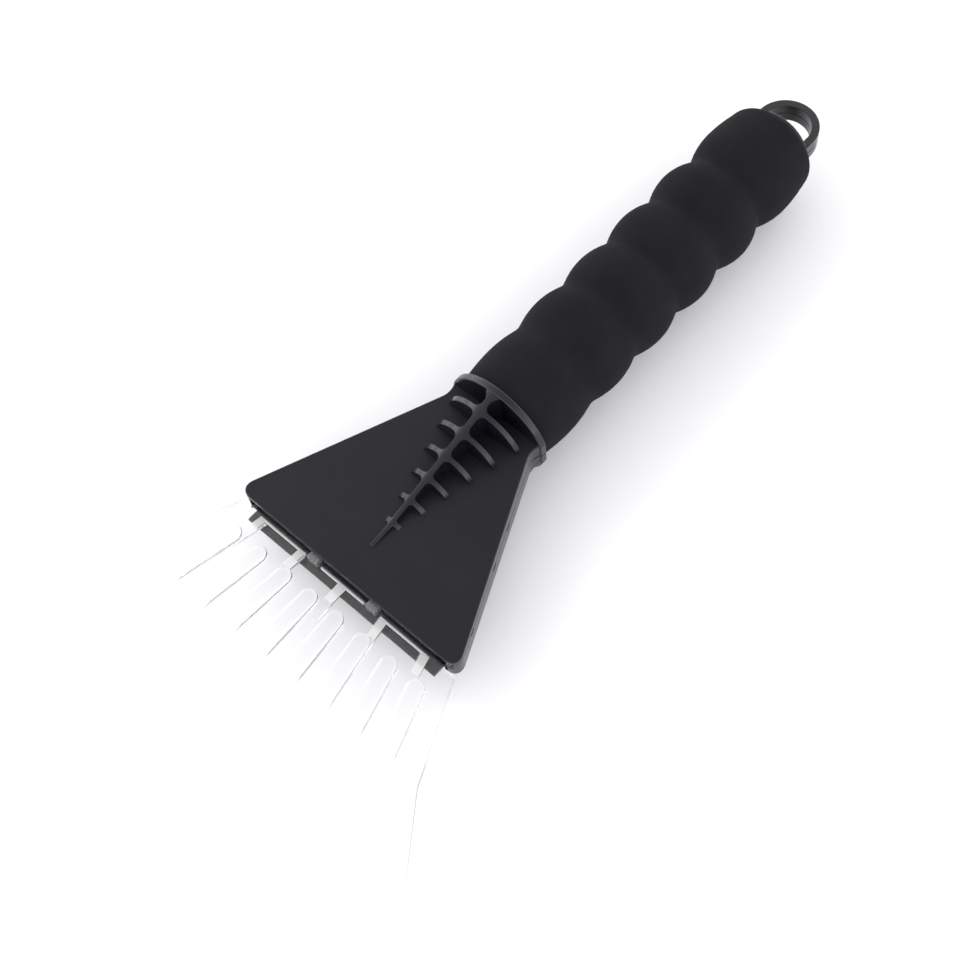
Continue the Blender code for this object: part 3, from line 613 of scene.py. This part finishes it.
GRIP_VALLEYS, GRIP_FIRST_VALLEY_Y, GRIP_PITCH = 5, 139.1, 18.9
GRIP_START_RADIUS, GRIP_END_RADIUS, GRIP_END_ROUND = 15.0, 14.8, 4.2
GRIP_VALLEY_RADIUS, GRIP_VALLEY_DROP = 14.4, 0.35
GRIP_FIRST_PEAK, GRIP_PEAK, GRIP_LAST_PEAK = 16.0, 16.2, 15.9


def grip_line():
    """(y, radius) points along the sleeve: soft scallops between narrow valleys, rounded at the far end."""
    valleys = [GRIP_FIRST_VALLEY_Y + GRIP_PITCH * k for k in range(GRIP_VALLEYS)]
    ends = [GRIP_START] + valleys + [GRIP_END - GRIP_END_ROUND]
    depths = [GRIP_VALLEY_RADIUS - GRIP_VALLEY_DROP * k for k in range(GRIP_VALLEYS)]
    low = [GRIP_START_RADIUS] + depths + [GRIP_END_RADIUS]
    peaks = [GRIP_FIRST_PEAK] + [GRIP_PEAK] * (GRIP_VALLEYS - 1) + [GRIP_LAST_PEAK]
    steps = 18
    line = []
    for k, peak in enumerate(peaks):
        for step in range(steps):
            t = step / steps
            base = low[k] if t < 0.5 else low[k + 1]
            y = ends[k] + (ends[k + 1] - ends[k]) * t
            line.append((y, base + (peak - base) * (1 - (2 * t - 1) ** 2)))
    for step in range(11):
        angle = math.pi / 2 * step / 10
        drop = GRIP_END_ROUND * (1 - math.cos(angle))
        line.append((ends[-1] + GRIP_END_ROUND * math.sin(angle), GRIP_END_RADIUS - drop))
    return line


def model_grip():
    line = grip_line()
    bore = TUBE_RADIUS + 0.3
    line = [(GRIP_START, bore)] + line + [(GRIP_END, bore)]
    clear_selection()
    bpy.ops.mesh.primitive_plane_add(size=MM, location=spot(0, line[0][0], AXIS + line[0][1]))
    grip = only(settle("foam_sleeve"))
    bpy.ops.mesh.select_mode(type="VERT")
    bpy.ops.mesh.select_all(action="SELECT")
    bpy.ops.mesh.merge(type="CENTER")
    bpy.ops.mesh.select_all(action="SELECT")
    for (y, radius), (next_y, next_radius) in zip(line, line[1:]):
        pull_out(y=next_y - y, z=next_radius - radius)
    pick(grip, "VERT", lambda ps, extra: GRIP_START + 1.5 < ps[0].y < GRIP_END - 4.0)
    bpy.ops.mesh.vertices_smooth(factor=0.5, repeat=2)
    bpy.ops.mesh.select_all(action="SELECT")
    bpy.ops.mesh.spin(steps=144, angle=2 * math.pi, center=spot(0, 0, AXIS), axis=(0, 1, 0))
    bpy.ops.mesh.select_all(action="SELECT")
    bpy.ops.mesh.remove_doubles(threshold=0.01 * MM)
    bpy.ops.mesh.select_mode(type="EDGE")
    bpy.ops.mesh.select_all(action="DESELECT")
    bpy.ops.mesh.select_non_manifold(extend=False)
    bpy.ops.mesh.bridge_edge_loops()
    tidy_normals()
    bpy.ops.object.mode_set(mode="OBJECT")
    return grip


# ---------------------------------------------------------------------------------------------------------
# Materials
# ---------------------------------------------------------------------------------------------------------

def srgb(code):
    """A '#rrggbb' colour as linear red, green, blue and alpha."""
    values = [int(code[i:i + 2], 16) / 255 for i in (1, 3, 5)]
    return [v / 12.92 if v <= 0.04045 else ((v + 0.055) / 1.055) ** 2.4 for v in values] + [1.0]


def node(tree, kind, settings=None, **sockets):
    """Add a node. A socket is given a value or the (node, output) that it is linked from; _0 is the first."""
    made = tree.nodes.new("ShaderNode" + kind)
    for name, value in (settings or {}).items():
        setattr(made, name, value)
    for name, value in sockets.items():
        socket = made.inputs[int(name[1:]) if name[0] == "_" else name.replace("_", " ")]
        if isinstance(value, tuple) and isinstance(value[0], bpy.types.Node):
            tree.links.new(value[0].outputs[value[1]], socket)
        else:
            socket.default_value = value
    return made


def blank(name):
    """A new material with only its output, and the Object coordinates that its patterns follow."""
    material = bpy.data.materials.new(name)
    material.use_nodes = True
    tree = material.node_tree
    tree.nodes.clear()
    return material, tree, node(tree, "OutputMaterial"), node(tree, "TexCoord")


def make_abs(name, colour, smoothest, dullest, grain_depth, glance):
    """Injection-moulded ABS with a grain of about a third of a millimetre: a satin spark-eroded face on the
    flat cover, and a shinier skin where the mould was polished, on the walls, ribs, collar and ring."""
    material, tree, output, coords = blank(name)
    grain = node(tree, "TexNoise", Vector=(coords, "Object"), Scale=1 / (0.35 * MM), Detail=3.0,
                 Roughness=0.6)
    cloud = node(tree, "TexNoise", Vector=(coords, "Object"), Scale=1 / (14 * MM), Detail=2.0)
    shade = node(tree, "ValToRGB", Fac=(cloud, "Fac"))
    for stop, place_on_ramp, share in zip(shade.color_ramp.elements, (0.35, 0.68), (0.88, 1.12)):
        stop.position = place_on_ramp
        stop.color = [c * share for c in colour[:3]] + [1.0]
    satin = node(tree, "MapRange", Value=(grain, "Fac"), From_Min=0.3, From_Max=0.7, To_Min=smoothest,
                 To_Max=dullest)
    bump = node(tree, "Bump", Height=(grain, "Fac"), Strength=grain_depth, Distance=0.02 * MM)
    shader = node(tree, "BsdfPrincipled", Base_Color=(shade, "Color"), Roughness=(satin, "Result"),
                  Normal=(bump, "Normal"), IOR=1.5)
    shader.inputs["Specular IOR Level"].default_value = glance
    tree.links.new(shader.outputs[0], output.inputs[0])
    return material


def make_polycarbonate(name, colour, clearness, roughness):
    """Moulded polycarbonate: water clear where it is a plain plate, with faint flow marks a few millimetres
    apart. The copies with less transmission paint light in: a painted highlight that turns the ribs
    and the front bars white, and painted shade that darkens the cut edges."""
    material, tree, output, coords = blank(name)
    flow = node(tree, "TexNoise", Vector=(coords, "Object"), Scale=1 / (6 * MM), Detail=2.0)
    bump = node(tree, "Bump", Height=(flow, "Fac"), Strength=0.08, Distance=0.2 * MM)
    shader = node(tree, "BsdfPrincipled", Base_Color=colour, Roughness=roughness, Normal=(bump, "Normal"),
                  IOR=1.585)
    shader.inputs["Transmission Weight"].default_value = clearness
    lamps = node(tree, "BsdfTransparent", Color=(0.97, 0.97, 0.975, 1.0))
    path = node(tree, "LightPath")
    lit = node(tree, "MixShader", Fac=(path, "Is Shadow Ray"), _1=(shader, 0), _2=(lamps, 0))
    mixed = node(tree, "MixShader", Fac=(path, "Is Diffuse Ray"), _1=(lit, 0), _2=(lamps, 0))
    tree.links.new(mixed.outputs[0], output.inputs[0])
    return material


def make_foam(colour):
    """Closed-cell foam rubber with its moulded skin: dead matte, fine pores about half a millimetre apart."""
    material, tree, output, coords = blank("closed_cell_foam")
    pores = node(tree, "TexVoronoi", Vector=(coords, "Object"), Scale=1 / (0.5 * MM))
    soft = node(tree, "TexNoise", Vector=(coords, "Object"), Scale=1 / (9 * MM), Detail=3.0)
    shade = node(tree, "ValToRGB", Fac=(soft, "Fac"))
    for stop, place_on_ramp, share in zip(shade.color_ramp.elements, (0.3, 0.7), (0.85, 1.15)):
        stop.position = place_on_ramp
        stop.color = [c * share for c in colour[:3]] + [1.0]
    bump = node(tree, "Bump", Height=(pores, "Distance"), Strength=0.25, Distance=0.05 * MM)
    shader = node(tree, "BsdfPrincipled", Base_Color=(shade, "Color"), Roughness=0.92,
                  Normal=(bump, "Normal"))
    shader.inputs["Specular IOR Level"].default_value = 0.14
    tree.links.new(shader.outputs[0], output.inputs[0])
    return material


def make_zinc(colour):
    """Zinc-plated steel, barrel plated: bright but a little cloudy at a few tenths of a millimetre."""
    material, tree, output, coords = blank("zinc_plated_steel")
    cloud = node(tree, "TexNoise", Vector=(coords, "Object"), Scale=1 / (0.6 * MM), Detail=3.0)
    matte = node(tree, "MapRange", Value=(cloud, "Fac"), From_Min=0.3, From_Max=0.7, To_Min=0.22, To_Max=0.42)
    bump = node(tree, "Bump", Height=(cloud, "Fac"), Strength=0.1, Distance=0.03 * MM)
    shader = node(tree, "BsdfPrincipled", Base_Color=colour, Metallic=1.0, Roughness=(matte, "Result"),
                  Normal=(bump, "Normal"))
    tree.links.new(shader.outputs[0], output.inputs[0])
    return material


def make_paper(colour):
    """Matte backdrop paper with a tooth of about half a millimetre."""
    material, tree, output, coords = blank("backdrop_paper")
    tooth = node(tree, "TexNoise", Vector=(coords, "Object"), Scale=1 / (0.6 * MM), Detail=2.0)
    bump = node(tree, "Bump", Height=(tooth, "Fac"), Strength=0.05, Distance=0.02 * MM)
    shader = node(tree, "BsdfPrincipled", Base_Color=colour, Roughness=0.9, Normal=(bump, "Normal"))
    tree.links.new(shader.outputs[0], output.inputs[0])
    return material


# ---------------------------------------------------------------------------------------------------------
# Studio
# ---------------------------------------------------------------------------------------------------------

CAMERA_PLACE = (0.15906, -0.15386, 0.3933)
CAMERA_AZIMUTH, CAMERA_ELEVATION, CAMERA_ROLL = -50.34, 62.49, -9.29
KEY_PLACE, KEY_SIZE = (-0.8, -0.1, 0.7), 0.5
HORIZON_GLOW, ZENITH_GLOW = 2.3, 0.5
PAPER_SIZE, PAPER_DROP = 6.0, 0.0004


def soft_box(name, where, target, size, power):
    data = bpy.data.lights.new(name, "AREA")
    data.shape = "DISK"
    data.size = size
    data.energy = power
    lamp = bpy.data.objects.new(name, data)
    lamp.location = where
    lamp.rotation_mode = "QUATERNION"
    lamp.rotation_quaternion = (Vector(target) - Vector(where)).to_track_quat("-Z", "Y")
    bpy.context.collection.objects.link(lamp)


def make_camera(where, azimuth, elevation, roll, lens):
    across = Vector((math.cos(azimuth), -math.sin(azimuth), 0))
    ahead = Vector((math.sin(azimuth) * math.cos(elevation), math.cos(azimuth) * math.cos(elevation),
                    -math.sin(elevation)))
    upright = across.cross(ahead)
    right = across * math.cos(roll) + upright * math.sin(roll)
    up = upright * math.cos(roll) - across * math.sin(roll)
    data = bpy.data.cameras.new("studio_camera")
    data.lens = lens
    data.sensor_width = 36.0
    camera = bpy.data.objects.new("studio_camera", data)
    turned = Matrix((right, up, -ahead)).transposed().to_4x4()
    turned.translation = where
    camera.matrix_world = turned
    bpy.context.collection.objects.link(camera)
    bpy.context.scene.camera = camera


# ---------------------------------------------------------------------------------------------------------
# Settings
# ---------------------------------------------------------------------------------------------------------

class ScraperColours(bpy.types.PropertyGroup):
    shell: FloatVectorProperty(
        name="Shell", description="Colour of the black ABS mouldings", subtype="COLOR", size=4,
        min=0.0, max=1.0, default=srgb("#121018"))
    foam: FloatVectorProperty(
        name="Foam", description="Colour of the foam sleeve", subtype="COLOR", size=4,
        min=0.0, max=1.0, default=srgb("#19191c"))
    blade: FloatVectorProperty(
        name="Blade", description="Tint of the clear blade", subtype="COLOR", size=4,
        min=0.0, max=1.0, default=srgb("#ffffff"))
    screw: FloatVectorProperty(
        name="Screws", description="Colour of the zinc plating", subtype="COLOR", size=4,
        min=0.0, max=1.0, default=srgb("#c4c4c2"))
    paper: FloatVectorProperty(
        name="Backdrop", description="Colour of the studio floor", subtype="COLOR", size=4,
        min=0.0, max=1.0, default=srgb("#fafafb"))


class ScraperStudio(bpy.types.PropertyGroup):
    key_power: FloatProperty(
        name="Key light", description="Power of the main soft box", default=1.3, unit="POWER")
    sky: FloatProperty(name="Room light", description="Brightness of the white room", default=1.15, min=0.0)
    lens: FloatProperty(name="Lens", description="Focal length of the camera", default=58.68, unit="CAMERA")


# ---------------------------------------------------------------------------------------------------------
# Operators
# ---------------------------------------------------------------------------------------------------------

def shell_finish(middle, normal):
    """Which of the shells' two materials a face gets: the satin cover and floor, or the polished rest."""
    on_backbone = middle.z > cover_at(middle.y) + 0.05
    return 1 if on_backbone or middle.y > COLLAR[0] - 0.3 or abs(normal.z) < 0.6 else 0


class SCRAPER_OT_shells(bpy.types.Operator):
    """Model the upper and the lower moulding"""
    bl_idname = "scraper.shells"
    bl_label = "Shells"

    def execute(self, context):
        black = list(context.scene.scraper_colours.shell)
        satin = make_abs("spark_eroded_black_abs", black, 0.38, 0.52, 0.1, 0.29)
        polished = make_abs("polished_black_abs", black, 0.22, 0.28, 0.01, 0.5)
        for shell, node_name in ((model_upper_shell(), "upper_shell"), (model_lower_shell(), "lower_shell")):
            finish_piece(shell, satin, "black_abs", node_name)
            shell.data.materials.append(polished)
            for face in shell.data.polygons:
                face.material_index = shell_finish(place(face.center), face.normal)
        return {"FINISHED"}


def blade_painted_light_slot(middle, normal):
    """Which of the blade's materials a face gets: the clear plastic, the ribs' painted highlight, the front
    bars' stronger painted highlight or the cut edges' painted shade.
    """
    above = middle.z - plate_at(middle.y)
    if middle.y > 52.1 and middle.z > 14.1:
        on_bar = middle.y < 53.3 and any(left <= middle.x <= right for left, right in BARS)
        return 2 if on_bar and normal.z > 0.6 else 1
    if middle.y > 53.3:
        return 0
    if middle.y > 49.5 and above > 0.2:
        return 2
    if above > 0.12:
        return 1
    return 3 if abs(normal.z) < 0.6 else 0


class SCRAPER_OT_blade(bpy.types.Operator):
    """Model the clear blade"""
    bl_idname = "scraper.blade"
    bl_label = "Blade"

    def execute(self, context):
        tint = list(context.scene.scraper_colours.blade)
        clear = make_polycarbonate("clear_polycarbonate", tint, 1.0, 0.04)
        blade = finish_piece(model_blade(), clear, "clear_polycarbonate", "scraper_blade")
        # Copies of the clear plastic with a tint below white and less transmission: a painted highlight on
        # the ribs and the front bars, and painted shade on the cut edges.
        edge_shade_tint = [c * 0.88 for c in tint[:3]] + [1.0]
        bar_highlight_tint = [c * 0.8 for c in tint[:3]] + [1.0]
        rib_highlight_tint = [c * 0.91 for c in tint[:3]] + [1.0]
        painted_light_copies = (("rib_painted_highlight_polycarbonate", rib_highlight_tint, 0.86, 0.12), ("bar_painted_highlight_polycarbonate", bar_highlight_tint, 0.35, 0.25),
                    ("edge_painted_shade_polycarbonate", edge_shade_tint, 0.75, 0.3))
        for painted_copy in painted_light_copies:
            blade.data.materials.append(make_polycarbonate(*painted_copy))
        for face in blade.data.polygons:
            face.material_index = blade_painted_light_slot(place(face.center), face.normal)
        return {"FINISHED"}


class SCRAPER_OT_grip(bpy.types.Operator):
    """Model the foam sleeve"""
    bl_idname = "scraper.grip"
    bl_label = "Foam grip"

    def execute(self, context):
        foam = make_foam(list(context.scene.scraper_colours.foam))
        sleeve = finish_piece(model_grip(), foam, "black_foam", "foam_grip", smooth=50.0)
        return {"FINISHED"}


class SCRAPER_OT_screws(bpy.types.Operator):
    """Give the three hidden screws their plating"""
    bl_idname = "scraper.screws"
    bl_label = "Screws"

    def execute(self, context):
        zinc = make_zinc(list(context.scene.scraper_colours.screw))
        for name in ("clamp_screw_left", "clamp_screw_right", "neck_screw"):
            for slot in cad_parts[name].material_slots:
                slot.material = zinc
        return {"FINISHED"}


class SCRAPER_OT_studio(bpy.types.Operator):
    """Lay the floor and set the lights and the camera"""
    bl_idname = "scraper.studio"
    bl_label = "Studio"

    def execute(self, context):
        studio = context.scene.scraper_studio
        clear_selection()
        bpy.ops.mesh.primitive_plane_add(size=PAPER_SIZE, location=(0, 0, -PAPER_DROP))
        floor = settle("studio_floor")
        floor.data.materials.append(make_paper(list(context.scene.scraper_colours.paper)))
        world = bpy.data.worlds.new("white_room")
        world.use_nodes = True
        room = world.node_tree
        way = node(room, "TexCoord")
        height = node(room, "SeparateXYZ", Vector=(way, "Generated"))
        glow = node(room, "MapRange", Value=(height, "Z"), To_Min=HORIZON_GLOW * studio.sky,
                    To_Max=ZENITH_GLOW * studio.sky)
        room.links.new(glow.outputs["Result"], room.nodes["Background"].inputs["Strength"])
        room.nodes["Background"].inputs["Color"].default_value = (0.99, 0.99, 1.0, 1.0)
        context.scene.world = world
        soft_box("key_light", KEY_PLACE, (0, 0, 0), KEY_SIZE, studio.key_power)
        context.scene.view_settings.view_transform = "Standard"
        make_camera(Vector(CAMERA_PLACE), math.radians(CAMERA_AZIMUTH), math.radians(CAMERA_ELEVATION),
                    math.radians(CAMERA_ROLL), studio.lens)
        return {"FINISHED"}


class SCRAPER_PT_panel(bpy.types.Panel):
    """Buttons that model the scraper piece by piece"""
    bl_idname = "SCRAPER_PT_panel"
    bl_label = "Ice scraper"
    bl_space_type = "VIEW_3D"
    bl_region_type = "UI"
    bl_category = "Scraper"

    def draw(self, context):
        for operator in OPERATORS:
            self.layout.operator(operator.bl_idname)
        for settings in (context.scene.scraper_colours, context.scene.scraper_studio):
            for name in settings.__annotations__:
                self.layout.prop(settings, name)


SETTINGS = (ScraperColours, ScraperStudio)
OPERATORS = (SCRAPER_OT_shells, SCRAPER_OT_blade, SCRAPER_OT_grip, SCRAPER_OT_screws, SCRAPER_OT_studio)


def register():
    for group in (*SETTINGS, *OPERATORS, SCRAPER_PT_panel):
        bpy.utils.register_class(group)
    bpy.types.Scene.scraper_colours = PointerProperty(type=ScraperColours)
    bpy.types.Scene.scraper_studio = PointerProperty(type=ScraperStudio)


def unregister():
    del bpy.types.Scene.scraper_studio
    del bpy.types.Scene.scraper_colours
    for group in reversed((*SETTINGS, *OPERATORS, SCRAPER_PT_panel)):
        bpy.utils.unregister_class(group)


def main():
    register()
    bpy.ops.scraper.shells()
    bpy.ops.scraper.blade()
    bpy.ops.scraper.grip()
    bpy.ops.scraper.screws()
    bpy.ops.scraper.studio()


if __name__ == "__main__":
    main()
